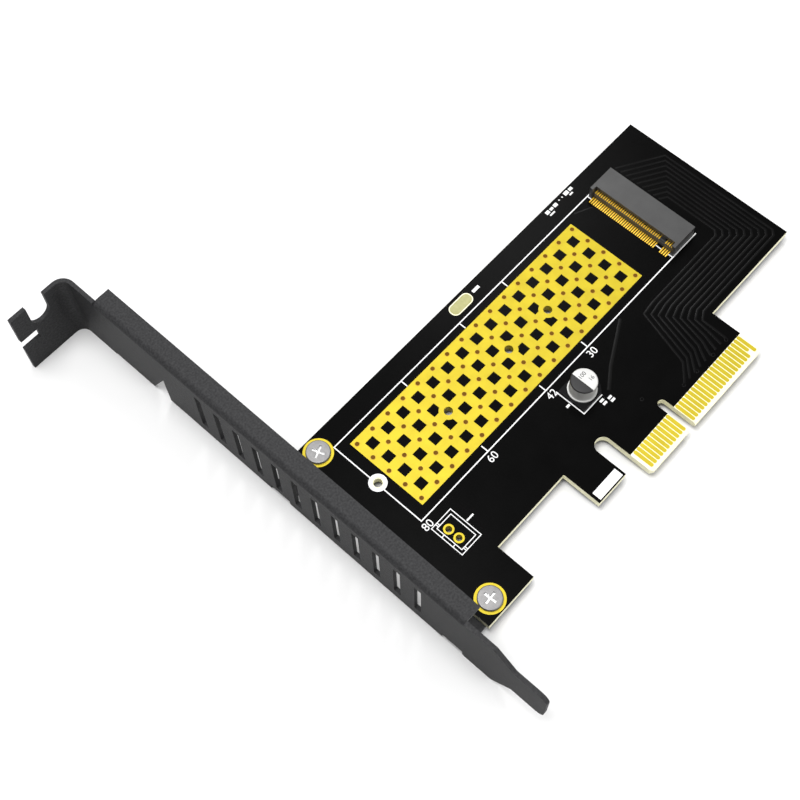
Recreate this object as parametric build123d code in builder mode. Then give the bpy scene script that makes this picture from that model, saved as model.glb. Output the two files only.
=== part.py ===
from build123d import *
import os

# Plug-in card that carries one flash drive, with its slot bracket, in millimetres.
# X runs from the bracket to the far end of the board, Y from the edge tab to the ear of the
# bracket, and Z up from the bracket edge on which the card lies. Sketches use the card's own
# numbers, with X = 0 on the outer face of the bracket and Y = 0 on the upper edge of the board.

# Bracket sheet
sheet = 0.86
bracket_width = 18.42
ear_top = 53.1
tongue_tip = -66.92
ear_depth = 12.9
ear_bend = 2.0
fold_bend = 0.5
edge_rise = 0.51
rise_low = -49.1
rise_high = 42.7

# Lip along the upper edge of the bracket
lip_depth = 4.2
lip_low = -48.4
lip_high = 44.1

# Tongue of the bracket
taper_start = -55.2
taper_end = -59.7
tongue_width = 10.19
tongue_inset = 4.6
tip_round = 1.9

# Screw notch and slit of the ear
ear_notch_width = 4.42
ear_notch_depth = 6.5
ear_notch_offset = 6.95
slit_width = 2.9
slit_depth = 4.0
slit_drop = 9.3

# Vents and side notch of the bracket
vent_count = 12
vent_pitch = 4.95
vent_first = 16.5
vent_width = 1.6
vent_margin_low = 3.0
vent_margin_high = 3.3
side_notch_start = 31.45
side_notch_end = 26.8
side_notch_height = 8.3
side_notch_lean = 0.24

# Laminate
board_thickness = 1.6
skin = 0.05
board_near = 6.4
board_far = 110.4
board_low = -40.75
foot_low = -49.37
foot_end = 18.85
hook_start = 38.0
hook_end = 45.95

# Edge tab
tab_start = 49.55
tab_end = 84.75
tab_low = -52.9
key_centre = 62.15
key_width = 1.9
key_top = -44.65
bevel_length = 0.65
bevel_depth = 0.45
tab_corner = 0.6
lock_margin = 0.05

# Edge contacts
contact_pitch = 1.0
contact_width = 0.7
contact_chamfer = 0.18
contact_top = -48.1
contact_low = -52.2
short_contact_low = -51.14
contacts_before_key = 11
contacts_after_key = 21
key_gap = 3.0
tab_mask_edge = -47.58

# Bracket screws
screw_x = 10.42
screw_high = -3.2
screw_low = -46.15
thread_diameter = 2.5
thread_clearance = 0.05
screw_length = 3.0
head_diameter = 4.9
head_height = 0.6
head_round = 0.35
head_slope = 0.2
board_hole = 2.9
land_diameter = 6.0
tab_width = 4.9
tab_reach = 3.3
recess_width = 0.7
recess_length = 2.6
recess_depth = 0.45

# Drive: its axis, its reach from the connector datum and its standard lengths
drive_axis = -15.8
drive_datum = 93.45
plated_lengths = (30, 42, 60)
plain_length = 80
plated_hole = 1.8
plating = 0.1
plated_land = 3.8
plain_hole = 1.8
coat_clearance = 0.2

# Cooling field under the drive
field_start = 15.74
field_end = 82.25
field_high = -6.43
field_low = -25.0
square_side = 2.07
square_pitch_x = 4.315
square_pitch_y = 4.12
squares_along = 15
squares_across = 4
heat_hole = 0.9
heat_hole_sides = 8
square_clearance = 1.9

# Header for a light, not fitted
header_x = 15.4
header_pitch = 2.54
header_centre = -33.07
eyelet_diameter = 2.1
eyelet_hole = 1.3
eyelet_wall = 0.1

# Window in the coat over the light
window_x = 52.8
window_y = -2.08
window_length = 5.4
window_width = 2.25
window_round = 1.0

# Drive connector, with heights above the coat
slot_front = 89.97
lid_front = 91.1
slot_back = 96.75
slot_height = 3.2
side_wall = 0.75
lid_thickness = 0.85
mouth_height = 1.0
mouth_back = 1.2
sill_front = 90.4
sill_wall = 0.2
sill_gap = 0.3
key_offset = 7.55
key_rib = 0.95
pin_key_gap = 1.75
pin_pitch = 0.5
pin_width = 0.25
pin_thickness = 0.15
lower_foot = 1.5
upper_foot = 0.95
spring_setback = 0.95
pin_end_gap = 0.2
long_count = 34
short_count = 4
hold_down_length = 1.6
hold_down_width = 0.6
hold_down_place = 93.4

# Round capacitor
can_x = 53.85
can_y = -32.25
can_diameter = 5.4
can_height = 4.75
can_round = 0.25
flange_diameter = 5.9
flange_height = 0.6
base_side = 6.4
base_height = 0.9
base_chamfer = 1.2
base_recess = 0.25
lead_width = 0.65
lead_thickness = 0.2
lead_start = 0.7

# White print
line_width = 0.24
fine_line_width = 0.18
print_high = -4.7
print_low = -27.0
print_near = 13.19
print_far = 97.6
closing_line = 89.8
print_clearance = 0.05
tick_length = 1.65
tick_places = (62.2, 49.3, 32.1)
ring_diameter = 3.65
bar_start = 38.67
bar_end = 45.37
bar_high = -47.1
bar_low = -49.08
header_frame_x = (13.2, 18.7)
header_frame_y = (-37.05, -29.3)
header_frame_step = 0.72
header_link_places = (-31.95, -34.68)
header_pair_places = (14.45, 14.85)
can_corner_x = 50.4
can_corner_y = -35.65
can_leg_x = 6.9
can_leg_y = 5.4

# Heights
tab_under = edge_rise
board_under = tab_under + sheet + skin
board_top = board_under + board_thickness
coat_top = board_top + skin

# The origin lies under the middle of the whole card
middle_x = (board_far - ear_depth) / 2
middle_y = (ear_top + tongue_tip) / 2


def level(height):
    return Plane(origin=(-middle_x, -middle_y, height))


def section_across(y):
    return Plane(origin=(-middle_x, y - middle_y, 0), x_dir=(1, 0, 0), z_dir=(0, -1, 0))


def section_along(x):
    return Plane(origin=(x - middle_x, -middle_y, 0), x_dir=(0, 1, 0), z_dir=(1, 0, 0))


def fold_plane(x, y, z, sheet_normal, rise):
    """Plane of a fold's section: the sheet rises along rise and folds towards sheet_normal."""
    origin = Vector(x - middle_x, y - middle_y, z)
    return Plane(origin=origin, x_dir=sheet_normal, z_dir=Vector(*sheet_normal).cross(Vector(*rise)))


def fold_section(bend, reach):
    """Section of a folded flap whose sheet starts at the origin and reaches out along X."""
    outer = bend + sheet
    with BuildSketch() as section:
        with BuildLine():
            outside = CenterArc((outer, 0), outer, 180, -90)
            top = Line(outside @ 1, (reach, outer))
            end = Line(top @ 1, (reach, bend))
            under = Line(end @ 1, (outer, bend))
            inside = CenterArc((outer, 0), bend, 90, 90)
            Line(inside @ 1, outside @ 0)
        make_face()
    return section.sketch


screw_places = [(screw_x, screw_high), (screw_x, screw_low)]
plated_places = [(drive_datum - length, drive_axis) for length in plated_lengths]
plain_place = (drive_datum - plain_length, drive_axis)
eyelet_places = [(header_x, header_centre + side * header_pitch / 2) for side in (1, -1)]
field_middle = ((field_start + field_end) / 2, (field_high + field_low) / 2)
field_size = (field_end - field_start, field_high - field_low)

# Outline of the board, with the tab, the key, the locking slot, the hook and the foot
lock_radius = (tab_start - hook_end) / 2
lock_centre = (tab_start + hook_end) / 2
lock_top = board_low - lock_radius - lock_margin
with BuildSketch() as board_outline:
    with BuildLine():
        Polyline(
            (hook_end, lock_top), (hook_end, foot_low), (hook_start, foot_low),
            (hook_start, board_low), (foot_end, board_low), (foot_end, foot_low),
            (board_near, foot_low), (board_near, 0), (board_far, 0), (board_far, board_low),
            (tab_end, board_low), (tab_end, tab_low), (tab_start, tab_low), (tab_start, lock_top),
        )
        ThreePointArc((tab_start, lock_top), (lock_centre, lock_top + lock_radius),
                      (hook_end, lock_top))
    make_face()
    key_length = key_top - tab_low
    with Locations((key_centre, tab_low)):
        SlotOverall(2 * key_length, key_width, rotation=90, mode=Mode.SUBTRACT)
    for end in (0, -1):
        low_corners = board_outline.vertices().group_by(Axis.Y)[0]
        chamfer(low_corners.sort_by(Axis.X)[end], tab_corner)

# Bare laminate
with BuildPart() as circuit_board:
    with BuildSketch(level(board_under)):
        add(board_outline.sketch)
        with Locations(*screw_places):
            Circle(board_hole / 2, mode=Mode.SUBTRACT)
        with Locations(*plated_places):
            Circle(plated_hole / 2 + plating, mode=Mode.SUBTRACT)
        with Locations(plain_place):
            Circle(plain_hole / 2, mode=Mode.SUBTRACT)
        with Locations(*eyelet_places):
            Circle(eyelet_hole / 2 + eyelet_wall, mode=Mode.SUBTRACT)
    extrude(amount=board_thickness)
    with BuildSketch(section_along(tab_start)):
        with BuildLine():
            Polyline((tab_low, board_top), (tab_low + bevel_length, board_top),
                     (tab_low, board_top - bevel_depth), close=True)
        make_face()
        with BuildLine():
            Polyline((tab_low, board_under), (tab_low + bevel_length, board_under),
                     (tab_low, board_under + bevel_depth), close=True)
        make_face()
    extrude(amount=tab_end - tab_start, mode=Mode.SUBTRACT)
circuit_board.part.label = "circuit_board"

# Area of the coat, which stops short of the contacts
with BuildSketch() as coat_outline:
    add(board_outline.sketch)
    with Locations(((tab_start + tab_end) / 2, (tab_mask_edge + tab_low) / 2)):
        Rectangle(tab_end - tab_start, tab_mask_edge - tab_low, mode=Mode.SUBTRACT)
    with Locations(*screw_places):
        Circle(land_diameter / 2, mode=Mode.SUBTRACT)
    with Locations(plain_place):
        Circle(plain_hole / 2 + coat_clearance, mode=Mode.SUBTRACT)
    with Locations(*eyelet_places):
        Circle(eyelet_diameter / 2, mode=Mode.SUBTRACT)

# Black coat on the component side, open over the cooling field and the light
with BuildPart() as solder_mask_top:
    with BuildSketch(level(board_top)):
        add(coat_outline.sketch)
        with Locations(field_middle):
            Rectangle(*field_size, mode=Mode.SUBTRACT)
        with Locations((window_x, window_y)):
            RectangleRounded(window_length, window_width, window_round, mode=Mode.SUBTRACT)
    extrude(amount=skin)
solder_mask_top.part.label = "solder_mask_top"

# Black coat on the solder side
with BuildPart() as solder_mask_bottom:
    with BuildSketch(level(board_under)):
        add(coat_outline.sketch)
        with Locations(*plated_places):
            Circle(plated_land / 2, mode=Mode.SUBTRACT)
    extrude(amount=-skin)
solder_mask_bottom.part.label = "solder_mask_bottom"

# Gold plated cooling field, with heat holes between the squares
heat_places = [
    (field_middle[0] + (i - squares_along / 2) * square_pitch_x,
     field_middle[1] + (j - squares_across / 2) * square_pitch_y)
    for i in range(squares_along + 1) for j in range(squares_across + 1)
]
clear_places = [
    place for place in heat_places
    if all(Vector(*place).sub(Vector(*hole)).length > square_clearance for hole in plated_places)
]
with BuildPart() as cooling_pad:
    with BuildSketch(level(board_top)):
        with Locations(field_middle):
            Rectangle(*field_size)
        with Locations(*clear_places):
            RegularPolygon(heat_hole / 2, heat_hole_sides, mode=Mode.SUBTRACT)
        with Locations(*plated_places):
            Circle(plated_hole / 2 + plating, mode=Mode.SUBTRACT)
    extrude(amount=skin)
cooling_pad.part.label = "cooling_pad"

# Black squares left on the cooling field, trimmed round the drive screw holes
with BuildPart() as cooling_pad_mask:
    with BuildSketch(level(coat_top)):
        with Locations(field_middle):
            with GridLocations(square_pitch_x, square_pitch_y, squares_along, squares_across):
                Rectangle(square_side, square_side)
        with Locations(*plated_places):
            Circle(square_clearance, mode=Mode.SUBTRACT)
    extrude(amount=skin)
cooling_pad_mask.part.label = "cooling_pad_mask"

# Plated walls of the inner drive screw holes, with a land on the solder side
with BuildPart() as drive_hole_plating:
    with BuildSketch(level(board_under - skin)):
        with Locations(*plated_places):
            Circle(plated_hole / 2 + plating)
            Circle(plated_hole / 2, mode=Mode.SUBTRACT)
    extrude(amount=board_thickness + 2 * skin)
    with BuildSketch(level(board_under - skin)):
        with Locations(*plated_places):
            Circle(plated_land / 2)
            Circle(plated_hole / 2, mode=Mode.SUBTRACT)
    extrude(amount=skin)
drive_hole_plating.part.label = "drive_hole_plating"

# Plated holes of the header
with BuildPart() as header_eyelets:
    with BuildSketch(level(board_under - skin)):
        with Locations(*eyelet_places):
            Circle(eyelet_diameter / 2)
    extrude(amount=skin)
    with BuildSketch(level(board_top)):
        with Locations(*eyelet_places):
            Circle(eyelet_diameter / 2)
    extrude(amount=skin)
    with BuildSketch(level(board_under)):
        with Locations(*eyelet_places):
            Circle(eyelet_hole / 2 + eyelet_wall)
    extrude(amount=board_thickness)
    with BuildSketch(level(board_under - skin)):
        with Locations(*eyelet_places):
            Circle(eyelet_hole / 2)
    extrude(amount=board_thickness + 2 * skin, mode=Mode.SUBTRACT)
header_eyelets.part.label = "header_eyelets"


def screw_lands(height, amount):
    """Gold ring round each bracket screw."""
    with BuildPart() as lands:
        with BuildSketch(level(height)):
            with Locations(*screw_places):
                Circle(land_diameter / 2)
                Circle(board_hole / 2, mode=Mode.SUBTRACT)
        extrude(amount=amount)
    return lands


screw_lands_top = screw_lands(board_top, skin)
screw_lands_top.part.label = "screw_lands_top"
screw_lands_bottom = screw_lands(board_under, -skin)
screw_lands_bottom.part.label = "screw_lands_bottom"


def contact_places():
    """X of each edge contact, from the bracket side to the far side of the key."""
    before = [key_centre - key_gap / 2 - i * contact_pitch for i in range(contacts_before_key)]
    after = [key_centre + key_gap / 2 + i * contact_pitch for i in range(contacts_after_key)]
    return before[::-1] + after


def edge_contacts(height, amount, short_index):
    """Row of contacts on the tab, one of them short, for sensing that a card is plugged in."""
    with BuildPart() as contacts:
        with BuildSketch(level(height)) as row:
            for index, x in enumerate(contact_places()):
                low = short_contact_low if index == short_index else contact_low
                with Locations((x, (contact_top + low) / 2)):
                    Rectangle(contact_width, contact_top - low)
            chamfer(row.vertices(), contact_chamfer)
        extrude(amount=amount)
    return contacts


short_front = contacts_before_key + contacts_after_key - 2
edge_contacts_front = edge_contacts(board_top, skin, short_front)
edge_contacts_front.part.label = "edge_contacts_front"
edge_contacts_back = edge_contacts(board_under, -skin, 0)
edge_contacts_back.part.label = "edge_contacts_back"

# Rows of the connector's contacts, in a long and a short group beside the key
key_y = drive_axis - key_offset
long_low = key_y + (pin_key_gap - pin_width) / 2
long_high = long_low + (long_count - 1) * pin_pitch + pin_width
short_high = key_y - (pin_key_gap - pin_width) / 2
short_low = short_high - (short_count - 1) * pin_pitch - pin_width
pin_places = [long_low + pin_width / 2 + i * pin_pitch for i in range(long_count)]
pin_places += [short_high - pin_width / 2 - i * pin_pitch for i in range(short_count)]

# Mouth of the connector, which is just wider than its contacts, and the housing round it
mouth_high = long_high + pin_end_gap
mouth_low = short_low - pin_end_gap
slot_middle_y = (mouth_high + mouth_low) / 2
inner_width = mouth_high - mouth_low
slot_width = inner_width + 2 * side_wall
slot_length = slot_back - slot_front
slot_middle = ((slot_front + slot_back) / 2, slot_middle_y)

# White print: outline of the drive, length ticks, ring, header frame, capacitor corner and bar
with BuildPart() as board_print:
    with BuildSketch(level(coat_top)):
        for y in (print_high, print_low):
            with Locations(((print_near + print_far) / 2, y)):
                Rectangle(print_far - print_near, line_width)
        for x in (print_near, closing_line):
            with Locations((x, (print_high + print_low) / 2)):
                Rectangle(line_width, print_high - print_low + line_width)
        for low_y, high_y in ((long_low, long_high), (short_low, short_high)):
            with Locations((closing_line, (low_y + high_y) / 2)):
                Rectangle(2 * line_width, high_y - low_y + 2 * print_clearance, mode=Mode.SUBTRACT)
        with Locations(slot_middle):
            Rectangle(slot_length + 2 * print_clearance, slot_width + 2 * print_clearance,
                      mode=Mode.SUBTRACT)
        for x in tick_places:
            for side_y in (print_high - tick_length / 2, print_low + tick_length / 2):
                with Locations((x, side_y)):
                    Rectangle(line_width, tick_length)
        with Locations(plain_place):
            Circle(ring_diameter / 2)
            Circle(plain_hole / 2 + coat_clearance, mode=Mode.SUBTRACT)
        near, far = header_frame_x
        low, high = header_frame_y
        step = header_frame_step
        with Locations(((near + far) / 2, (low + high) / 2)):
            Rectangle(far - near, high - low)
            Rectangle(far - near - 2 * fine_line_width, high - low - 2 * fine_line_width,
                      mode=Mode.SUBTRACT)
            Rectangle(far - near - 2 * step, high - low - 2 * step)
            Rectangle(far - near - 2 * (step + fine_line_width),
                      high - low - 2 * (step + fine_line_width), mode=Mode.SUBTRACT)
        for y in header_link_places:
            with Locations((near + (step + fine_line_width) / 2, y)):
                Rectangle(step + fine_line_width, fine_line_width)
        for x in header_pair_places:
            for y in (low + step / 2, high - step / 2):
                with Locations((x, y)):
                    Rectangle(fine_line_width, step)
        with Locations((can_corner_x, can_corner_y + can_leg_x / 2)):
            Rectangle(line_width, can_leg_x + line_width)
        with Locations((can_corner_x + can_leg_y / 2, can_corner_y)):
            Rectangle(can_leg_y + line_width, line_width)
        with Locations(((bar_start + bar_end) / 2, (bar_high + bar_low) / 2)):
            Rectangle(bar_end - bar_start, bar_high - bar_low)
    extrude(amount=skin)
board_print.part.label = "board_print"

# Metal hold-downs, one under each end wall of the connector
with BuildSketch() as hold_down_outline:
    for side in (1, -1):
        with Locations((hold_down_place, slot_middle_y + side * (slot_width - hold_down_width) / 2)):
            Rectangle(hold_down_length, hold_down_width)
with BuildPart() as drive_slot_hold_downs:
    with BuildSketch(level(coat_top)):
        add(hold_down_outline.sketch)
    extrude(amount=pin_thickness)
drive_slot_hold_downs.part.label = "drive_slot_hold_downs"

# Housing of the drive connector, open at the front
mouth_floor = slot_height - lid_thickness - mouth_height
riser_front = sill_front + sill_wall
back_wall = slot_back - mouth_back
with BuildPart() as drive_slot_housing:
    with BuildSketch(level(coat_top)):
        with Locations(slot_middle):
            Rectangle(slot_length, slot_width)
    extrude(amount=slot_height)
    with BuildSketch(section_across(slot_middle_y + inner_width / 2)):
        with BuildLine():
            Polyline(
                (slot_front, coat_top), (sill_front, coat_top), (sill_front, coat_top + mouth_floor),
                (back_wall, coat_top + mouth_floor),
                (back_wall, coat_top + mouth_floor + mouth_height),
                (lid_front, coat_top + mouth_floor + mouth_height),
                (lid_front, coat_top + slot_height), (slot_front, coat_top + slot_height),
                close=True,
            )
        make_face()
    extrude(amount=inner_width, mode=Mode.SUBTRACT)
    # Passage of the lower contacts behind the sill, and under it
    with BuildSketch(section_across(slot_middle_y + inner_width / 2)):
        with BuildLine():
            Polyline(
                (sill_front, coat_top), (riser_front + pin_thickness, coat_top),
                (riser_front + pin_thickness, coat_top + mouth_floor),
                (riser_front, coat_top + mouth_floor), (riser_front, coat_top + sill_gap),
                (sill_front, coat_top + sill_gap), close=True,
            )
        make_face()
    extrude(amount=inner_width, mode=Mode.SUBTRACT)
    # Passage of the upper contacts under the lid
    with BuildSketch(section_along(back_wall)):
        ceiling = coat_top + mouth_floor + mouth_height
        with Locations((slot_middle_y, ceiling - pin_thickness / 2)):
            Rectangle(inner_width, pin_thickness)
    extrude(amount=mouth_back, mode=Mode.SUBTRACT)
    # Rib that fits the key of the drive
    with BuildSketch(level(coat_top + mouth_floor)):
        with Locations(((lid_front + back_wall) / 2, key_y)):
            Rectangle(back_wall - lid_front, key_rib)
    extrude(amount=mouth_height)
    # Pockets of the hold-downs
    with BuildSketch(level(coat_top)):
        add(hold_down_outline.sketch)
    extrude(amount=pin_thickness, mode=Mode.SUBTRACT)
drive_slot_housing.part.label = "drive_slot_housing"

# Lower contacts: a spring on the floor of the mouth, a riser behind the sill and a foot
with BuildPart() as drive_slot_lower_contacts:
    floor = coat_top + mouth_floor
    for y in pin_places:
        with BuildSketch(section_across(y + pin_width / 2)):
            with BuildLine():
                Polyline(
                    (sill_front - lower_foot, coat_top), (riser_front + pin_thickness, coat_top),
                    (riser_front + pin_thickness, floor), (back_wall - spring_setback, floor),
                    (back_wall - spring_setback, floor + pin_thickness),
                    (riser_front, floor + pin_thickness), (riser_front, coat_top + pin_thickness),
                    (sill_front - lower_foot, coat_top + pin_thickness), close=True,
                )
            make_face()
        extrude(amount=pin_width)
drive_slot_lower_contacts.part.label = "drive_slot_lower_contacts"

# Upper contacts: a spring under the lid, a drop behind the housing and a foot
with BuildPart() as drive_slot_upper_contacts:
    ceiling = coat_top + mouth_floor + mouth_height
    for y in pin_places:
        with BuildSketch(section_across(y + pin_width / 2)):
            with BuildLine():
                Polyline(
                    (lid_front + spring_setback, ceiling), (slot_back + pin_thickness, ceiling),
                    (slot_back + pin_thickness, coat_top + pin_thickness),
                    (slot_back + upper_foot, coat_top + pin_thickness),
                    (slot_back + upper_foot, coat_top), (slot_back, coat_top),
                    (slot_back, ceiling - pin_thickness),
                    (lid_front + spring_setback, ceiling - pin_thickness), close=True,
                )
            make_face()
        extrude(amount=pin_width)
drive_slot_upper_contacts.part.label = "drive_slot_upper_contacts"

# Leads of the capacitor, flat under its foot
with BuildSketch() as lead_outline:
    for side in (1, -1):
        with Locations((can_x + side * (base_side / 2 + lead_start) / 2, can_y)):
            Rectangle(base_side / 2 - lead_start, lead_width)
with BuildPart() as capacitor_leads:
    with BuildSketch(level(coat_top)):
        add(lead_outline.sketch)
    extrude(amount=lead_thickness)
capacitor_leads.part.label = "capacitor_leads"

# Moulded foot of the capacitor, with two cut corners and a recess for the can
with BuildPart() as capacitor_base:
    with BuildSketch(level(coat_top)):
        with Locations((can_x, can_y)):
            Rectangle(base_side, base_side)
        chamfer(vertices().group_by(Axis.X)[-1], base_chamfer)
    extrude(amount=base_height)
    with BuildSketch(level(coat_top + base_height)):
        with Locations((can_x, can_y)):
            Circle(flange_diameter / 2)
    extrude(amount=-base_recess, mode=Mode.SUBTRACT)
    with BuildSketch(level(coat_top)):
        add(lead_outline.sketch)
    extrude(amount=lead_thickness, mode=Mode.SUBTRACT)
capacitor_base.part.label = "capacitor_base"

# Can of the capacitor, turned, with the flange of its crimp at the foot
can_foot = coat_top + base_height - base_recess
can_top = coat_top + can_height
with BuildPart() as capacitor_can:
    with BuildSketch(section_across(can_y)):
        side_x = can_x + can_diameter / 2
        flange_x = can_x + flange_diameter / 2
        with BuildLine():
            Polyline((can_x, can_foot), (flange_x, can_foot), (flange_x, can_foot + flange_height),
                     (side_x, can_foot + flange_height), (side_x, can_top - can_round))
            RadiusArc((side_x, can_top - can_round), (side_x - can_round, can_top), -can_round)
            Polyline((side_x - can_round, can_top), (can_x, can_top), (can_x, can_foot))
        make_face()
    revolve(axis=Axis((can_x - middle_x, can_y - middle_y, 0), (0, 0, 1)))
capacitor_can.part.label = "capacitor_can"

# Bracket: one sheet with its face, lip, ear, tongue and two board tabs
tab_places = [screw_high, screw_low]
vent_low = edge_rise + vent_margin_low
vent_high = bracket_width - vent_margin_high
ear_outer = ear_bend + sheet
fold_outer = fold_bend + sheet
with BuildPart() as bracket:
    with BuildSketch(section_along(0)):
        with BuildLine():
            Polyline(
                (ear_top - ear_outer, 0), (rise_high, 0), (rise_high - edge_rise, edge_rise),
                (rise_low + edge_rise, edge_rise), (rise_low, 0), (taper_start, 0),
                (taper_end, tongue_inset), (tongue_tip, tongue_inset),
                (tongue_tip, tongue_inset + tongue_width),
                (taper_end, tongue_inset + tongue_width), (taper_start, bracket_width),
                (ear_top - ear_outer, bracket_width), close=True,
            )
        make_face()
        fillet(vertices().group_by(Axis.X)[0], tip_round)
        with Locations(((lip_low + lip_high) / 2, bracket_width - fold_outer / 2)):
            Rectangle(lip_high - lip_low, fold_outer, mode=Mode.SUBTRACT)
        for y in tab_places:
            with Locations((y, edge_rise + fold_outer / 2)):
                Rectangle(tab_width, fold_outer, mode=Mode.SUBTRACT)
        for i in range(vent_count):
            with Locations((vent_first - i * vent_pitch, (vent_low + vent_high) / 2)):
                Rectangle(vent_width, vent_high - vent_low, mode=Mode.SUBTRACT)
        with BuildLine():
            Polyline((side_notch_start, edge_rise),
                     (side_notch_end + side_notch_lean, edge_rise + side_notch_height),
                     (side_notch_end, edge_rise), close=True)
        make_face(mode=Mode.SUBTRACT)
    extrude(amount=sheet)
    with BuildSketch(fold_plane(0, lip_high, bracket_width - fold_outer, (1, 0, 0), (0, 0, 1))):
        add(fold_section(fold_bend, lip_depth))
    extrude(amount=lip_high - lip_low)
    for y in tab_places:
        start = fold_plane(0, y - tab_width / 2, edge_rise + fold_outer, (1, 0, 0), (0, 0, -1))
        with BuildSketch(start):
            add(fold_section(fold_bend, screw_x + tab_reach))
        extrude(amount=tab_width)
    with BuildSketch(fold_plane(sheet, ear_top - ear_outer, 0, (-1, 0, 0), (0, 1, 0))):
        add(fold_section(ear_bend, ear_depth + sheet))
    extrude(amount=-bracket_width)
    with BuildSketch(section_across(ear_top)):
        with Locations((-ear_notch_offset, bracket_width)):
            SlotOverall(2 * ear_notch_depth, ear_notch_width, rotation=90)
        with Locations((-ear_depth, bracket_width - slit_drop)):
            Rectangle(2 * slit_depth, slit_width)
    extrude(amount=sheet, mode=Mode.SUBTRACT)
    with BuildSketch(level(edge_rise)):
        with Locations(*screw_places):
            Circle(thread_diameter / 2 + thread_clearance)
    extrude(amount=sheet, mode=Mode.SUBTRACT)
bracket.part.label = "bracket"

# Two pan head screws with a cross recess
with BuildPart() as bracket_screws:
    with BuildSketch(level(coat_top)):
        with Locations(*screw_places):
            Circle(thread_diameter / 2)
    extrude(amount=-screw_length)
    with BuildSketch(level(coat_top)):
        with Locations(*screw_places):
            Circle(head_diameter / 2)
    extrude(amount=head_height)
    chamfer(edges().group_by(Axis.Z)[-1], head_slope, length2=head_round)
    with BuildSketch(level(coat_top + head_height)):
        with Locations(*screw_places):
            Rectangle(recess_length, recess_width)
            Rectangle(recess_width, recess_length)
    extrude(amount=-recess_depth, mode=Mode.SUBTRACT)
bracket_screws.part.label = "bracket_screws"

os.makedirs("parts", exist_ok=True)
export_step(circuit_board.part, "parts/circuit_board.step")
export_step(solder_mask_top.part, "parts/solder_mask_top.step")
export_step(solder_mask_bottom.part, "parts/solder_mask_bottom.step")
export_step(cooling_pad.part, "parts/cooling_pad.step")
export_step(cooling_pad_mask.part, "parts/cooling_pad_mask.step")
export_step(drive_hole_plating.part, "parts/drive_hole_plating.step")
export_step(header_eyelets.part, "parts/header_eyelets.step")
export_step(screw_lands_top.part, "parts/screw_lands_top.step")
export_step(screw_lands_bottom.part, "parts/screw_lands_bottom.step")
export_step(edge_contacts_front.part, "parts/edge_contacts_front.step")
export_step(edge_contacts_back.part, "parts/edge_contacts_back.step")
export_step(board_print.part, "parts/board_print.step")
export_step(drive_slot_hold_downs.part, "parts/drive_slot_hold_downs.step")
export_step(drive_slot_housing.part, "parts/drive_slot_housing.step")
export_step(drive_slot_lower_contacts.part, "parts/drive_slot_lower_contacts.step")
export_step(drive_slot_upper_contacts.part, "parts/drive_slot_upper_contacts.step")
export_step(capacitor_leads.part, "parts/capacitor_leads.step")
export_step(capacitor_base.part, "parts/capacitor_base.step")
export_step(capacitor_can.part, "parts/capacitor_can.step")
export_step(bracket.part, "parts/bracket.step")
export_step(bracket_screws.part, "parts/bracket_screws.step")
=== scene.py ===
# Looks of a plug-in adapter card: black board, gold cooling field, dark slot bracket
# Sizes are in millimetres and turns in radians, unless a note says otherwise
import math

import bmesh
import bpy
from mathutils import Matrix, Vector


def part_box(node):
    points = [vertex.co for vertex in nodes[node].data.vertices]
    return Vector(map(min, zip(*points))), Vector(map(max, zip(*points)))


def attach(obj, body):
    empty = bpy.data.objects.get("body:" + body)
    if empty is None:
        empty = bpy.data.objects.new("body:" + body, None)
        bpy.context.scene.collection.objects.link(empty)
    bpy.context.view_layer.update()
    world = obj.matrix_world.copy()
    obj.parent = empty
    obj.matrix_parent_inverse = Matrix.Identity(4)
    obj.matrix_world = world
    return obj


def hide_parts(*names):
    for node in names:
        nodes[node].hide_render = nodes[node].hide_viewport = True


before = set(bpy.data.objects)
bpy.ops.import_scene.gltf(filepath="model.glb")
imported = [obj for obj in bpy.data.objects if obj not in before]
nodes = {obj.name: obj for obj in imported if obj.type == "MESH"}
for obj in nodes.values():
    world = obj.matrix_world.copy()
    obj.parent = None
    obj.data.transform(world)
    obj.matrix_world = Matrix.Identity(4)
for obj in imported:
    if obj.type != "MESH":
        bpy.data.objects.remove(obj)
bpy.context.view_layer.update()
mm = 0.001
facingUp = 0.9    # a normal whose z is above this belongs to a level face
smoothAngle = math.radians(35)    # edges sharper than this stay crisp
labelThickness = 0.01
print("frame loaded:", len(nodes), "nodes")

# The card's own numbers run from the bracket's face, the board's upper edge and its top
cardOrigin = Vector((-48.75, 6.91, 3.02)) * mm
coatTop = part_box("solder_mask_top")[1].z
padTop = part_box("cooling_pad")[1].z


def atCard(x, y, z=0.0):
    return cardOrigin + Vector((x, y, z)) * mm


def linearColor(hexText):
    parts = [int(hexText[i:i + 2], 16) / 255 for i in (0, 2, 4)]
    return [c / 12.92 if c <= 0.04045 else ((c + 0.055) / 1.055) ** 2.4 for c in parts] + [1.0]


def perMetre(sizeInMm):
    return 1.0 / (sizeInMm * mm)    # noise scale that gives features of this size


def addNode(tree, kind, settings, links=()):
    node = tree.nodes.new(kind)
    for name, value in settings.items():
        if name in node.inputs:
            node.inputs[name].default_value = value
        else:
            setattr(node, name, value)
    for name, source in links:
        tree.links.new(source, node.inputs[name])
    return node


# How fine each noise goes, and where the two shades start and end their mix
noise = {"blotchDetail": 3.0, "grainDetail": 2.0, "tintFrom": 0.3, "tintTo": 0.7}


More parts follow.
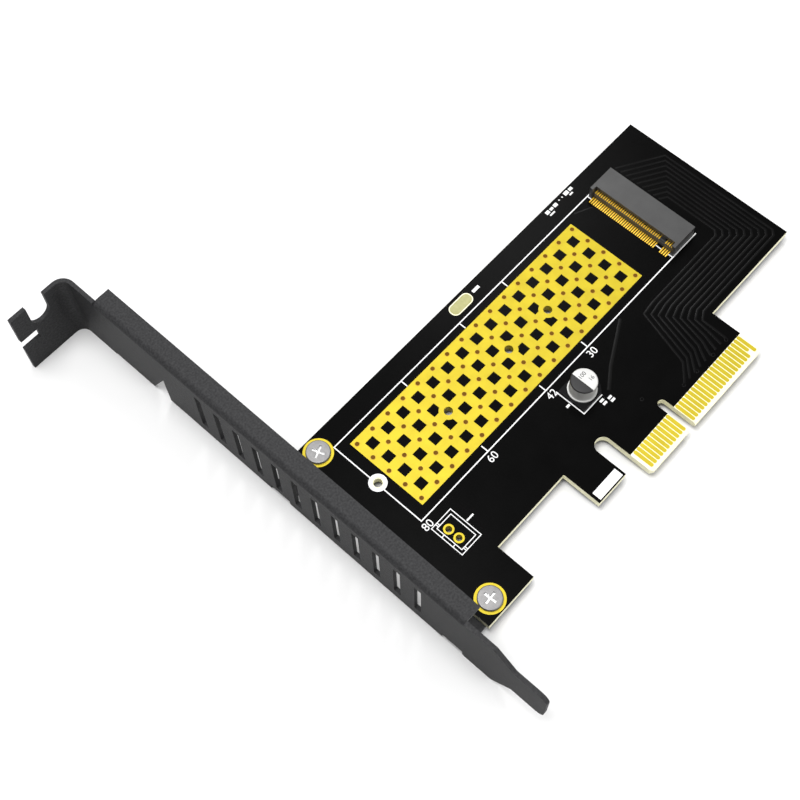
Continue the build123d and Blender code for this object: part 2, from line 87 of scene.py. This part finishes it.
def finishMaterial(name, look):
    # Two close shades mixed by a blotchy noise, and a finer noise as relief
    material = bpy.data.materials.new(name)
    material.use_nodes = True
    tree = material.node_tree
    tree.nodes.clear()
    place = addNode(tree, "ShaderNodeTexCoord", {})
    blotch = addNode(tree, "ShaderNodeTexNoise",
                     {"Scale": perMetre(look["blotchSize"]), "Detail": noise["blotchDetail"]},
                     [("Vector", place.outputs["Object"])])
    tint = addNode(tree, "ShaderNodeValToRGB", {}, [("Fac", blotch.outputs["Fac"])])
    stops = zip(tint.color_ramp.elements, (noise["tintFrom"], noise["tintTo"]), look["shades"])
    for stop, position, shade in stops:
        stop.position = position
        stop.color = linearColor(shade)
    grain = addNode(tree, "ShaderNodeTexNoise",
                    {"Scale": perMetre(look["grainSize"]), "Detail": noise["grainDetail"]},
                    [("Vector", place.outputs["Object"])])
    relief = addNode(tree, "ShaderNodeBump",
                     {"Strength": look["reliefStrength"], "Distance": look["reliefHeight"] * mm},
                     [("Height", grain.outputs["Fac"])])
    shader = addNode(tree, "ShaderNodeBsdfPrincipled", look["shader"],
                     [("Base Color", tint.outputs["Color"]), ("Normal", relief.outputs["Normal"])])
    addNode(tree, "ShaderNodeOutputMaterial", {}, [("Surface", shader.outputs["BSDF"])])
    return material


# Powder coat on sheet steel: an orange peel that breaks up the sheen, drawn coarse to show
powderCoat = finishMaterial("powderCoatedSteel", {
    "shades": ("262627", "353536"), "blotchSize": 0.4, "grainSize": 0.5,
    "reliefStrength": 1.0, "reliefHeight": 0.06,
    "shader": {"Roughness": 0.5, "Specular IOR Level": 0.06},
})
# Black solder mask, screened and cured: smooth, so it keeps a faint soft sheen
solderMask = finishMaterial("blackSolderMask", {
    "shades": ("040404", "060606"), "blotchSize": 6.0, "grainSize": 1.2,
    "reliefStrength": 0.1, "reliefHeight": 0.01,
    "shader": {"Roughness": 0.25, "Specular IOR Level": 0.02},
})
# The same mask where it rides over a copper trace: a little thinner, so a little lighter
maskOverTrace = finishMaterial("solderMaskOverTrace", {
    "shades": ("090909", "0D0D0D"), "blotchSize": 5.0, "grainSize": 0.6,
    "reliefStrength": 0.1, "reliefHeight": 0.01,
    "shader": {"Roughness": 0.25, "Specular IOR Level": 0.06},
})
# Immersion gold over copper: bright yellow with a satin grain from the copper under it
immersionGold = finishMaterial("immersionGold", {
    "shades": ("A4920A", "AE9C10"), "blotchSize": 3.0, "grainSize": 0.3,
    "reliefStrength": 0.25, "reliefHeight": 0.01,
    "shader": {"Roughness": 0.5, "Metallic": 0.5},
})
# Hard gold on the connector's sprung contacts: smoother than the board's gold, and painted brighter
# as painted light to lift contacts that sit in the shade of the connector's mouth
hardGoldPaintedLight = finishMaterial("hardGoldContactPaintedLight", {
    "shades": ("E8B830", "F2C440"), "blotchSize": 1.0, "grainSize": 0.1,
    "reliefStrength": 0.1, "reliefHeight": 0.005,
    "shader": {"Roughness": 0.35, "Metallic": 0.35},
})
# Glass laminate, routed: pale cream with a faint weave of fibres
glassLaminate = finishMaterial("glassLaminate", {
    "shades": ("DEDBBA", "E6E3C6"), "blotchSize": 0.8, "grainSize": 0.2,
    "reliefStrength": 0.3, "reliefHeight": 0.02,
    "shader": {"Roughness": 0.65, "Specular IOR Level": 0.3},
})
# Laminate seen through the clear coat of the light's window: deeper and greener
windowLaminate = finishMaterial("coatedWindowLaminate", {
    "shades": ("86844A", "908E56"), "blotchSize": 0.8, "grainSize": 0.2,
    "reliefStrength": 0.2, "reliefHeight": 0.01,
    "shader": {"Roughness": 0.3, "Specular IOR Level": 0.4},
})
# Screen printed epoxy ink: opaque white, slightly rough
printInk = finishMaterial("whitePrintInk", {
    "shades": ("CCCCCC", "D6D6D6"), "blotchSize": 1.5, "grainSize": 0.15,
    "reliefStrength": 0.1, "reliefHeight": 0.01,
    "shader": {"Roughness": 0.6},
})
# Glass filled nylon, moulded: dark grey with a faint flow texture
mouldedNylon = finishMaterial("mouldedNylon", {
    "shades": ("2F2F2F", "353535"), "blotchSize": 3.0, "grainSize": 0.3,
    "reliefStrength": 0.3, "reliefHeight": 0.02,
    "shader": {"Roughness": 0.4, "Specular IOR Level": 0.35},
})
# Black phenolic foot of the capacitor, moulded
mouldedPhenolic = finishMaterial("mouldedPhenolic", {
    "shades": ("0C0C0D", "101011"), "blotchSize": 2.0, "grainSize": 0.25,
    "reliefStrength": 0.3, "reliefHeight": 0.02,
    "shader": {"Roughness": 0.45, "Specular IOR Level": 0.05},
})
# Coated aluminium can, drawn: pale satin with faint bands
drawnAluminium = finishMaterial("drawnAluminium", {
    "shades": ("ACACAA", "B8B8B6"), "blotchSize": 2.5, "grainSize": 0.2,
    "reliefStrength": 0.15, "reliefHeight": 0.01,
    "shader": {"Roughness": 0.45, "Metallic": 0.3},
})
# Tin plated steel: pale, soft gloss
tinPlate = finishMaterial("tinPlate", {
    "shades": ("C6C6C8", "D2D2D4"), "blotchSize": 1.0, "grainSize": 0.15,
    "reliefStrength": 0.2, "reliefHeight": 0.01,
    "shader": {"Roughness": 0.35, "Metallic": 1.0},
})
# Nickel plated screw head, brushed flat: mid grey with a slight haze
brushedNickel = finishMaterial("brushedNickel", {
    "shades": ("686767", "737272"), "blotchSize": 0.9, "grainSize": 0.12,
    "reliefStrength": 0.3, "reliefHeight": 0.01,
    "shader": {"Roughness": 0.45, "Metallic": 0.7},
})
# Painted highlight: the walls of the pressed cross, painted brighter than the head in place of the
# glints they throw
crossRecessPaintedHighlight = finishMaterial("crossRecessPaintedHighlight", {
    "shades": ("BCBCBC", "C8C8C8"), "blotchSize": 0.9, "grainSize": 0.12,
    "reliefStrength": 0.1, "reliefHeight": 0.01,
    "shader": {"Roughness": 0.3, "Metallic": 0.3},
})
# Dark ink of the capacitor's mark
markInk = finishMaterial("markInk", {
    "shades": ("161617", "1A1A1B"), "blotchSize": 1.0, "grainSize": 0.15,
    "reliefStrength": 0.2, "reliefHeight": 0.01,
    "shader": {"Roughness": 0.5, "Specular IOR Level": 0.3},
})
# Painted light: the lit side of a heat hole's plated wall, dull gold painted on the shallow ring of
# its well
heatHoleLitWallPaint = finishMaterial("heatHoleWallPaintedLight", {
    "shades": ("A07A10", "AA841A"), "blotchSize": 0.5, "grainSize": 0.1,
    "reliefStrength": 0.1, "reliefHeight": 0.01,
    "shader": {"Roughness": 0.6, "Metallic": 0.2},
})
# Painted shade: the dark brown depth of a heat hole, painted on the flat middle of its shallow well
heatHoleShadePaint = finishMaterial("heatHoleDepthPaintedShade", {
    "shades": ("583A06", "62420A"), "blotchSize": 0.5, "grainSize": 0.1,
    "reliefStrength": 0.1, "reliefHeight": 0.01,
    "shader": {"Roughness": 0.7, "Specular IOR Level": 0.1},
})
print("materials made")

nodeFinish = {
    "circuit_board": glassLaminate, "solder_mask_top": solderMask,
    "solder_mask_bottom": solderMask, "cooling_pad": immersionGold,
    "cooling_pad_mask": solderMask, "drive_hole_plating": immersionGold,
    "header_eyelets": immersionGold, "screw_lands_top": immersionGold,
    "screw_lands_bottom": immersionGold, "edge_contacts_front": immersionGold,
    "edge_contacts_back": immersionGold, "board_print": printInk,
    "drive_slot_housing": mouldedNylon, "drive_slot_lower_contacts": hardGoldPaintedLight,
    "drive_slot_upper_contacts": hardGoldPaintedLight, "drive_slot_hold_downs": tinPlate,
    "capacitor_base": mouldedPhenolic, "capacitor_leads": tinPlate,
    "capacitor_can": drawnAluminium, "bracket": powderCoat, "bracket_screws": brushedNickel,
}
for nodeName, finish in nodeFinish.items():
    nodes[nodeName].data.materials.clear()
    nodes[nodeName].data.materials.append(finish)
print("nodes finished")


def deselectAll():
    if bpy.context.mode != "OBJECT":
        bpy.ops.object.mode_set(mode="OBJECT")
    bpy.ops.object.select_all(action="DESELECT")


def settle(piece, name, finish=None):
    # Puts a piece's place in its mesh, names it and lets it ride on the card
    deselectAll()
    piece.select_set(True)
    bpy.context.view_layer.objects.active = piece
    bpy.ops.object.transform_apply(location=True, rotation=True, scale=True)
    piece.name = name
    if finish:
        piece.data.materials.clear()
        piece.data.materials.append(finish)
    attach(piece, "root")
    return piece


def joinPieces(pieces):
    deselectAll()
    for piece in pieces:
        piece.select_set(True)
    bpy.context.view_layer.objects.active = pieces[0]
    bpy.ops.object.join()
    return pieces[0]


# Plated rims of the heat holes, as thin discs that lie on the gold sheet, with a painted lit wall
# and painted shade in each shallow well
heatHole = {"columns": 16, "rows": 5, "pitchX": 4.315, "pitchY": 4.12, "centre": (48.995, -15.715),
            "radius": 0.54, "rim": 0.02, "slope": 0.08, "depth": 0.008, "proud": 0.012, "sides": 20,
            "shadeShift": (0.03, 0.03), "goldShare": 0.9}
driveHole = {"places": ((63.45, -15.8), (51.45, -15.8), (33.45, -15.8)), "clearance": 1.9}


def heatHolePlaces():
    size = heatHole
    for column in range(size["columns"]):
        for row in range(size["rows"]):
            x = size["centre"][0] + (column - (size["columns"] - 1) / 2) * size["pitchX"]
            y = size["centre"][1] + (row - (size["rows"] - 1) / 2) * size["pitchY"]
            gaps = [math.hypot(x - hx, y - hy) for hx, hy in driveHole["places"]]
            if min(gaps) > driveHole["clearance"]:
                yield x, y


def makeHeatHole():
    size = heatHole
    deselectAll()
    bpy.ops.mesh.primitive_cylinder_add(vertices=size["sides"], radius=size["radius"] * mm,
                                        depth=2 * size["proud"] * mm, location=(0, 0, 0))
    well = bpy.context.object
    bpy.ops.object.mode_set(mode="EDIT")
    bpy.ops.mesh.select_all(action="DESELECT")
    bpy.ops.object.mode_set(mode="OBJECT")
    for face in well.data.polygons:
        face.select = face.normal.z > facingUp
    bpy.ops.object.mode_set(mode="EDIT")
    bpy.ops.mesh.inset(thickness=size["rim"] * mm)
    bpy.ops.mesh.extrude_region_move(TRANSFORM_OT_translate={"value": (0, 0, -size["depth"] * mm)})
    bpy.ops.mesh.inset(thickness=size["slope"] * mm)
    shift = (size["shadeShift"][0] * mm, size["shadeShift"][1] * mm, 0)
    bpy.ops.transform.translate(value=shift)
    bpy.ops.object.mode_set(mode="OBJECT")
    for finish in (immersionGold, heatHoleLitWallPaint, heatHoleShadePaint):
        well.data.materials.append(finish)
    goldFrom = (size["proud"] - size["goldShare"] * size["depth"]) * mm
    # The middle disc takes the painted shade. The ring round it, made lopsided by shadeShift, takes
    # the painted lit wall
    for face in well.data.polygons:
        if face.center.z > goldFrom or face.normal.z < facingUp:
            face.material_index = 0
        else:
            isMiddle = len(face.vertices) == size["sides"]
            face.material_index = 2 if isMiddle else 1
    return well


firstWell = makeHeatHole()
wells = []
for x, y in heatHolePlaces():
    well = firstWell.copy()
    well.data = firstWell.data.copy()
    bpy.context.collection.objects.link(well)
    well.location = atCard(x, y)
    well.location.z = padTop
    wells.append(well)
bpy.data.objects.remove(firstWell)
settle(joinPieces(wells), "heat_hole_wells")
print("heat holes:", len(wells))

# Low flat heads with a rounded rim and a cross recess
screw = {"places": ((10.42, -3.2), (10.42, -46.15)), "radius": 2.44, "height": 0.59, "dome": 0.3,
         "domeSegments": 6, "domeProfile": 0.6, "sides": 64, "shankRadius": 1.25,
         "shankLength": 2.98, "shankSides": 32, "shankChamfer": 0.2, "armWidth": 0.5,
         "armLength": 2.7, "recessDepth": 0.4, "topBand": 0.02, "turns": (0.35, 0.05)}


def makeScrew(x, y, turn):
    size = screw
    base = atCard(x, y)
    base.z = coatTop
    deselectAll()
    bpy.ops.mesh.primitive_cylinder_add(vertices=size["sides"], radius=size["radius"] * mm,
                                        depth=size["height"] * mm,
                                        location=base + Vector((0, 0, size["height"] / 2 * mm)))
    head = bpy.context.object
    bpy.ops.object.transform_apply(location=True)
    dome = head.modifiers.new("dome", "BEVEL")
    dome.width = size["dome"] * mm
    dome.segments = size["domeSegments"]
    dome.profile = size["domeProfile"]
    dome.limit_method = "WEIGHT"
    mesh = bmesh.new()
    mesh.from_mesh(head.data)
    weights = mesh.edges.layers.float.new("bevel_weight_edge")
    for edge in mesh.edges:
        if all(v.co.z > base.z + size["height"] / 2 * mm for v in edge.verts):
            edge[weights] = 1.0
    mesh.to_mesh(head.data)
    mesh.free()
    bpy.ops.object.modifier_apply(modifier="dome")
    for arm in range(2):
        deselectAll()
        bpy.ops.mesh.primitive_cube_add(size=1.0, location=(0, 0, 0))
        cutter = bpy.context.object
        cutter.scale = (size["armLength"] * mm, size["armWidth"] * mm, 2 * size["recessDepth"] * mm)
        cutter.rotation_euler.z = turn + arm * math.pi / 2
        cutter.location = base + Vector((0, 0, size["height"] * mm))
        cut = head.modifiers.new("cut", "BOOLEAN")
        cut.object = cutter
        cut.operation = "DIFFERENCE"
        bpy.context.view_layer.objects.active = head
        bpy.ops.object.modifier_apply(modifier="cut")
        bpy.data.objects.remove(cutter)
    deselectAll()
    shankPlace = base - Vector((0, 0, size["shankLength"] / 2 * mm))
    bpy.ops.mesh.primitive_cylinder_add(vertices=size["shankSides"],
                                        radius=size["shankRadius"] * mm,
                                        depth=size["shankLength"] * mm, location=shankPlace)
    shank = bpy.context.object
    bpy.ops.object.mode_set(mode="EDIT")
    bpy.ops.mesh.select_all(action="DESELECT")
    bpy.ops.object.mode_set(mode="OBJECT")
    for face in shank.data.polygons:
        face.select = face.normal.z < -facingUp
    bpy.ops.object.mode_set(mode="EDIT")
    bpy.ops.mesh.bevel(offset=size["shankChamfer"] * mm, segments=1)
    bpy.ops.object.mode_set(mode="OBJECT")
    whole = joinPieces([head, shank])
    bpy.ops.object.shade_smooth_by_angle(angle=smoothAngle)
    whole.data.materials.append(brushedNickel)
    whole.data.materials.append(crossRecessPaintedHighlight)
    recessReach = size["armLength"] / 2 * mm
    recessTop = base.z + (size["height"] - size["topBand"]) * mm
    # Faces sunk in the cross take the painted highlight, and the rest take the head's own grey
    for face in whole.data.polygons:
        across = math.hypot(face.center.x - base.x, face.center.y - base.y)
        sunk = base.z < face.center.z < recessTop
        face.material_index = 1 if sunk and across < recessReach else 0
    return whole


screws = [makeScrew(x, y, turn) for (x, y), turn in zip(screw["places"], screw["turns"])]
screwPair = settle(joinPieces(screws), "flat_head_screws")
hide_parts("bracket_screws")
print("screws made")

# Dark mark and plain numbers on top of the capacitor
capacitor = {"centre": (53.85, -32.25), "topHeight": 4.8, "radius": 2.705, "round": 0.25,
             "roundSegments": 4, "sides": 72, "skirt": 0.32, "lift": 0.008, "chord": -0.4,
             "numberSize": 1.2, "numberLift": 0.01,
             "numbers": (("capacitor_number", "100", (54.4, -31.3)),
                         ("capacitor_second_number", "16", (55.15, -33.0)))}


def makeCapacitorMark():
    # A cap that follows the can's rounded rim, kept on the dark side of the chord
    size = capacitor
    deselectAll()
    top = atCard(*size["centre"], size["topHeight"] + size["lift"])
    bpy.ops.mesh.primitive_cylinder_add(vertices=size["sides"], radius=size["radius"] * mm,
                                        depth=size["skirt"] * mm,
                                        location=top - Vector((0, 0, size["skirt"] / 2 * mm)))
    mark = bpy.context.object
    bpy.ops.object.transform_apply(location=True)
    bpy.ops.object.mode_set(mode="EDIT")
    bpy.ops.mesh.select_all(action="DESELECT")
    bpy.ops.object.mode_set(mode="OBJECT")
    middleHeight = top.z - size["skirt"] / 2 * mm
    for edge in mark.data.edges:
        edge.select = all(mark.data.vertices[i].co.z > middleHeight for i in edge.vertices)
    bpy.ops.object.mode_set(mode="EDIT")
    bpy.ops.mesh.bevel(offset=size["round"] * mm, segments=size["roundSegments"])
    bpy.ops.mesh.select_all(action="SELECT")
    bpy.ops.mesh.bisect(plane_co=top + Vector((size["chord"] * mm, 0, 0)), plane_no=(1, 0, 0),
                        clear_outer=True, use_fill=True)
    bpy.ops.object.mode_set(mode="OBJECT")
    bpy.ops.object.shade_smooth_by_angle(angle=smoothAngle)
    return settle(mark, "capacitor_mark", markInk)


def makeNumber(words, place, height, letterSize, name, finish):
    deselectAll()
    bpy.ops.object.text_add(location=(0, 0, 0))
    label = bpy.context.object
    label.data.body = words
    label.data.size = letterSize * mm
    label.data.align_x = "CENTER"
    label.data.align_y = "CENTER"
    label.data.extrude = labelThickness * mm
    bpy.ops.object.convert(target="MESH")
    label = bpy.context.object
    label.location = atCard(*place)
    label.location.z = height
    return settle(label, name, finish)


makeCapacitorMark()
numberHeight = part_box("capacitor_can")[1].z + capacitor["numberLift"] * mm
for name, words, place in capacitor["numbers"]:
    makeNumber(words, place, numberHeight, capacitor["numberSize"], name,
               markInk)
print("capacitor marked")


def roundUpright(piece, radius, segments, thickness):
    # Rounds the upright edges of a thin plate
    bpy.ops.object.mode_set(mode="EDIT")
    bpy.ops.mesh.select_mode(type="EDGE")
    bpy.ops.mesh.select_all(action="DESELECT")
    bpy.ops.object.mode_set(mode="OBJECT")
    for edge in piece.data.edges:
        ends = [piece.data.vertices[i].co for i in edge.vertices]
        edge.select = abs(ends[0].z - ends[1].z) > thickness / 2 * mm
    bpy.ops.object.mode_set(mode="EDIT")
    bpy.ops.mesh.bevel(offset=radius * mm, segments=segments)
    bpy.ops.object.mode_set(mode="OBJECT")


# Pale rim and clear coat of the light's window, lying on the board's coat
lightWindow = {"centre": (52.8, -2.08), "length": 5.5, "width": 2.3, "round": 1.05,
               "roundSegments": 8, "rimWidth": 0.2, "thickness": 0.03, "step": 0.006}


def makeWindow(widen, lift, name, finish):
    size = lightWindow
    deselectAll()
    place = atCard(*size["centre"])
    place.z = coatTop + (lift - size["thickness"] / 2) * mm
    bpy.ops.mesh.primitive_cube_add(size=1.0, location=place)
    pane = bpy.context.object
    pane.scale = ((size["length"] + 2 * widen) * mm, (size["width"] + 2 * widen) * mm,
                  size["thickness"] * mm)
    bpy.ops.object.transform_apply(location=True, rotation=True, scale=True)
    roundUpright(pane, size["round"] + widen, size["roundSegments"], size["thickness"])
    return settle(pane, name, finish)


makeWindow(lightWindow["rimWidth"], lightWindow["step"], "light_window_rim", glassLaminate)
makeWindow(0.0, 2 * lightWindow["step"], "light_window_coat", windowLaminate)
print("light window made")

# Plain length numbers beside the ticks
lengthNumber = {"words": ("30", "42", "60", "80"), "x": (61.9, 49.5, 31.85, 13.4), "y": -28.45,
                "letterSize": 2.3, "lift": 0.01}
for words, x in zip(lengthNumber["words"], lengthNumber["x"]):
    makeNumber(words, (x, lengthNumber["y"]), coatTop + lengthNumber["lift"] * mm,
               lengthNumber["letterSize"], "length_number_" + words, printInk)
print("numbers printed")

# Copper traces under the mask, as low ridges: out of the drive connector, round and to the tab
trace = {"count": 9, "width": 0.5, "height": 0.018, "startX": 99.2, "startY": -4.6,
         "startStep": -1.45, "sideX": 108.9, "sideStep": -1.0, "turnY": -39.2, "turnStep": 1.1,
         "bend": (84.0, -0.65), "slant": (82.1, -0.82), "slantY": (-40.3, 1.2),
         "fan": (82.1, -1.25), "fanY": -43.0, "end": (82.0, -1.7), "endY": -46.2,
         "rise": 0.6, "corner": 1.0, "flatShare": 0.7}


def makeRidge(points, name, width, height):
    curve = bpy.data.curves.new(name, "CURVE")
    curve.dimensions = "3D"
    line = curve.splines.new("POLY")
    line.points.add(len(points) - 1)
    for target, point in zip(line.points, points):
        place = atCard(*point)
        target.co = (place.x, place.y, coatTop, 1.0)
    profile = bpy.data.curves.new(name + "_profile", "CURVE")
    profile.dimensions = "2D"
    edge = profile.splines.new("POLY")
    halfWidth = width / 2 * mm
    halfFlat = trace["flatShare"] * halfWidth
    shape = [(-halfWidth, 0.0), (-halfFlat, height * mm), (halfFlat, height * mm), (halfWidth, 0.0)]
    edge.points.add(len(shape) - 1)
    for target, (across, up) in zip(edge.points, shape):
        target.co = (across, up, 0.0, 1.0)
    section = bpy.data.objects.new(name + "_section", profile)
    bpy.context.collection.objects.link(section)
    curve.bevel_mode = "OBJECT"
    curve.bevel_object = section
    ridge = bpy.data.objects.new(name, curve)
    bpy.context.collection.objects.link(ridge)
    deselectAll()
    ridge.select_set(True)
    bpy.context.view_layer.objects.active = ridge
    bpy.ops.object.convert(target="MESH")
    bpy.data.objects.remove(section)
    return bpy.context.object


def tracePoints(i):
    size = trace
    startY = size["startY"] + i * size["startStep"]
    sideX = size["sideX"] + i * size["sideStep"]
    turnY = size["turnY"] + i * size["turnStep"]
    rise = (sideX - size["startX"]) * size["rise"]
    bendX, slantX, fanX, endX = [size[key][0] + i * size[key][1]
                                 for key in ("bend", "slant", "fan", "end")]
    slantY = size["slantY"][0] + i * size["slantY"][1]
    corner = size["corner"]
    return [(size["startX"], startY), (sideX, startY - rise), (sideX, turnY + corner),
            (sideX - corner, turnY), (bendX, turnY), (slantX, slantY), (fanX, size["fanY"]),
            (endX, size["endY"])]


ridges = [makeRidge(tracePoints(i), "trace_%d" % i, trace["width"], trace["height"])
          for i in range(trace["count"])]
powerRun = {"points": ((71.5, -27.9), (62.0, -33.0), (57.6, -36.0)),
            "side": ((84.6, -5.4), (88.4, -7.2)), "width": 0.7}
ridges.append(makeRidge(powerRun["points"], "trace_power", powerRun["width"], trace["height"]))
ridges.append(makeRidge(powerRun["side"], "trace_side", trace["width"], trace["height"]))
via = {"places": ((81.7, -46.4), (77.3, -46.5), (72.3, -46.3), (68.2, -46.2), (60.3, -42.0)),
       "radius": 0.36, "width": 0.16, "sides": 10}
for viaX, viaY in via["places"]:
    turns = [2 * math.pi * i / via["sides"] for i in range(via["sides"] + 1)]
    ring = [(viaX + via["radius"] * math.cos(t), viaY + via["radius"] * math.sin(t)) for t in turns]
    ridges.append(makeRidge(ring, "via", via["width"], trace["height"]))
settle(joinPieces(ridges), "mask_over_traces", maskOverTrace)
print("traces made")

# Gold fingers: a little fuller than their solids, up to the edge of the coat, with round ends
finger = {"top": -47.62, "widen": 0.06, "round": 0.34, "roundSegments": 3, "thickness": 0.05,
          "gap": 0.15, "lines": 4}


def fingerSpans():
    # Each solid in the frame has four upright lines of corners along X: its sides and chamfers
    corners = sorted((v.co.x, v.co.y) for v in nodes["edge_contacts_front"].data.vertices)
    lines = [[corners[0]]]
    for corner in corners[1:]:
        if corner[0] - lines[-1][-1][0] > finger["gap"] * mm:
            lines.append([])
        lines[-1].append(corner)
    for i in range(0, len(lines), finger["lines"]):
        group = sum(lines[i:i + finger["lines"]], [])
        yield group[0][0], group[-1][0], min(y for x, y in group)


def makeFinger(nearX, farX, lowY):
    size = finger
    topY = atCard(0, size["top"]).y
    deselectAll()
    place = Vector(((nearX + farX) / 2, (lowY + topY) / 2, coatTop - size["thickness"] / 2 * mm))
    bpy.ops.mesh.primitive_cube_add(size=1.0, location=place)
    piece = bpy.context.object
    piece.scale = (farX - nearX + 2 * size["widen"] * mm, topY - lowY, size["thickness"] * mm)
    bpy.ops.object.transform_apply(location=True, rotation=True, scale=True)
    roundUpright(piece, size["round"], size["roundSegments"], size["thickness"])
    return piece


fingers = [makeFinger(nearX, farX, lowY) for nearX, farX, lowY in fingerSpans()]
print("gold fingers:", len(fingers))
goldFingers = settle(joinPieces(fingers), "gold_fingers", immersionGold)
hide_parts("edge_contacts_front")

# Plain white bars of print: ends of each bar, and its width
printBar = {"height": 0.012, "bars": (
    ((80.7, -1.1), (81.7, -1.1), 0.8), ((82.0, -1.1), (82.9, -1.1), 0.6),
    ((83.2, -1.1), (84.2, -1.1), 0.8), ((81.0, -2.0), (82.4, -2.0), 0.35),
    ((85.0, -0.9), (85.3, -0.9), 0.3), ((86.0, -0.9), (86.3, -0.9), 0.3),
    ((86.9, -0.85), (88.1, -0.85), 0.9), ((88.4, -0.85), (89.4, -0.85), 0.7),
    ((87.6, -1.75), (88.6, -1.75), 0.35),
    ((56.5, -1.95), (58.4, -1.95), 0.7), ((18.9, -33.2), (20.7, -33.2), 0.35),
    ((49.2, -32.3), (50.1, -32.3), 0.5), ((54.4, -36.4), (55.4, -36.4), 0.5),
    ((54.4, -37.2), (55.4, -37.2), 0.5), ((56.0, -37.1), (57.0, -37.1), 0.5),
    ((56.0, -37.9), (57.0, -37.9), 0.5))}
bars = [makeRidge((start, end), "bar", width, printBar["height"])
        for start, end, width in printBar["bars"]]
settle(joinPieces(bars), "print_bars", printInk)
print("print bars:", len(bars))

# Seamless studio paper, its size in metres
floor = {"size": 4.0, "shade": "D0D0D0", "roughness": 0.9}


def makeFloor():
    deselectAll()
    bpy.ops.mesh.primitive_plane_add(size=floor["size"], location=(0, 0, 0))
    plane = bpy.context.object
    plane.name = "pale_floor"
    material = bpy.data.materials.new("palePaperFloor")    # matt, so it takes only soft shade
    material.use_nodes = True
    material.node_tree.nodes.clear()
    shader = addNode(material.node_tree, "ShaderNodeBsdfPrincipled",
                     {"Base Color": linearColor(floor["shade"]), "Roughness": floor["roughness"],
                      "Specular IOR Level": 0.0})
    addNode(material.node_tree, "ShaderNodeOutputMaterial", {},
            [("Surface", shader.outputs["BSDF"])])
    plane.data.materials.append(material)


makeFloor()

# Strengths of the sky, and each lamp's place and size in metres and its power in watts
studio = {"horizon": 0.2, "zenith": 1.0,
          "keyPlace": (-0.08, 0.06, 0.5), "keySize": 0.26, "keyPower": 3.0,
          "sidePlace": (0.27, 0.22, 0.46), "sideSize": 0.14, "sidePower": 0.8,
          "lowPlace": (0.12, -0.45, 0.2), "lowSize": 0.3, "lowPower": 1.1}
world = bpy.data.worlds.new("studio")
bpy.context.scene.world = world
world.use_nodes = True
world.node_tree.nodes.clear()
# A soft dome, brightest overhead
toward = addNode(world.node_tree, "ShaderNodeTexCoord", {})
split = addNode(world.node_tree, "ShaderNodeSeparateXYZ", {},
                [("Vector", toward.outputs["Generated"])])
dome = addNode(world.node_tree, "ShaderNodeMapRange",
               {"To Min": studio["horizon"], "To Max": studio["zenith"]},
               [("Value", split.outputs["Z"])])
sky = addNode(world.node_tree, "ShaderNodeBackground", {}, [("Strength", dome.outputs["Result"])])
addNode(world.node_tree, "ShaderNodeOutputWorld", {}, [("Surface", sky.outputs["Background"])])


def addLamp(name, place, size, power):
    data = bpy.data.lights.new(name, "AREA")
    data.size = size
    data.energy = power
    lamp = bpy.data.objects.new(name, data)
    lamp.location = place
    lamp.rotation_euler = (-Vector(place)).to_track_quat("-Z", "Y").to_euler()
    bpy.context.collection.objects.link(lamp)


for lampName in ("key", "side", "low"):
    addLamp(lampName + "_light", studio[lampName + "Place"], studio[lampName + "Size"],
            studio[lampName + "Power"])

# Camera fitted to the photograph: its angles are in degrees, its near clip in metres
view = {"place": (-101.298, -79.627, 240.317), "azimuth": -48.144, "elevation": 64.005,
        "lens": 61.254, "sensorWidth": 36.0, "shift": (-0.02998, -0.01219), "nearClip": 0.01}
cameraData = bpy.data.cameras.new("photo_camera")
cameraData.lens = view["lens"]
cameraData.sensor_width = view["sensorWidth"]
cameraData.shift_x, cameraData.shift_y = view["shift"]
cameraData.clip_start = view["nearClip"]
camera = bpy.data.objects.new("photo_camera", cameraData)
camera.location = Vector(view["place"]) * mm
camera.rotation_euler = (math.radians(90 - view["elevation"]), 0, math.radians(view["azimuth"]))
bpy.context.collection.objects.link(camera)
bpy.context.scene.camera = camera
bpy.context.scene.view_settings.view_transform = "Standard"
print("camera and light set")
